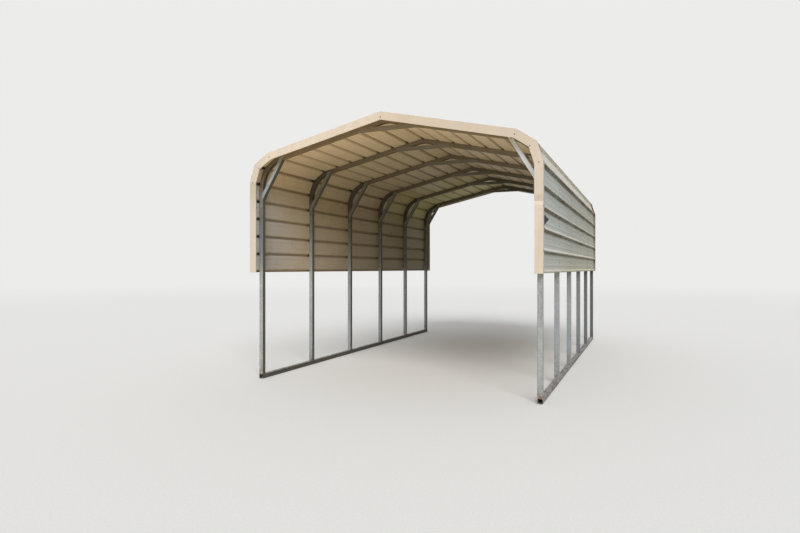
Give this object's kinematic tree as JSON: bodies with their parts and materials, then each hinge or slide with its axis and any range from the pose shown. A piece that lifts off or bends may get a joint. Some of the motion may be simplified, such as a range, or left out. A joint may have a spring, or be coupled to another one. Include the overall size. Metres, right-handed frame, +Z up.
{
  "type": "carport",
  "caption": "Open single-car carport of galvanised tube bows on base rails, with a ribbed sheet roof rounded at the eaves and half-height side sheets.",
  "frame": {"origin": "on the ground at the middle of the bay", "axes": "+X across the bay to the right, +Y along the bay to the back, +Z up"},
  "size_m": [3.7206, 6.4056, 3.267],
  "materials": {
    "galvanised_steel": "dull grey galvanised tube and channel",
    "sheet_paint": "weathered beige coil paint, satin",
    "trim_paint": "warm cream coil paint, satin"
  },
  "bodies": {
    "root": {"base_rail_left": "galvanised_steel", "base_rail_right": "galvanised_steel", "leg_left_1": "galvanised_steel", "leg_right_1": "galvanised_steel", "roof_bow_1": "galvanised_steel", "knee_braces_1": "galvanised_steel", "peak_brace_1": "galvanised_steel", "leg_left_2": "galvanised_steel", "leg_right_2": "galvanised_steel", "roof_bow_2": "galvanised_steel", "knee_braces_2": "galvanised_steel", "peak_brace_2": "galvanised_steel", "leg_left_3": "galvanised_steel", "leg_right_3": "galvanised_steel", "roof_bow_3": "galvanised_steel", "knee_braces_3": "galvanised_steel", "peak_brace_3": "galvanised_steel", "leg_left_4": "galvanised_steel", "leg_right_4": "galvanised_steel", "roof_bow_4": "galvanised_steel", "knee_braces_4": "galvanised_steel", "peak_brace_4": "galvanised_steel", "leg_left_5": "galvanised_steel", "leg_right_5": "galvanised_steel", "roof_bow_5": "galvanised_steel", "knee_braces_5": "galvanised_steel", "peak_brace_5": "galvanised_steel", "leg_left_6": "galvanised_steel", "leg_right_6": "galvanised_steel", "roof_bow_6": "galvanised_steel", "knee_braces_6": "galvanised_steel", "peak_brace_6": "galvanised_steel", "wall_sheet_left": "sheet_paint", "eave_sheet_left": "sheet_paint", "roof_sheet_left": "sheet_paint", "front_trim_left": "trim_paint", "back_trim_left": "trim_paint", "wall_sheet_right": "sheet_paint", "eave_sheet_right": "sheet_paint", "roof_sheet_right": "sheet_paint", "front_trim_right": "trim_paint", "back_trim_right": "trim_paint", "ridge_sheet": "sheet_paint", "front_trim_foot_right": "trim_paint"}
  },
  "joints": []
}
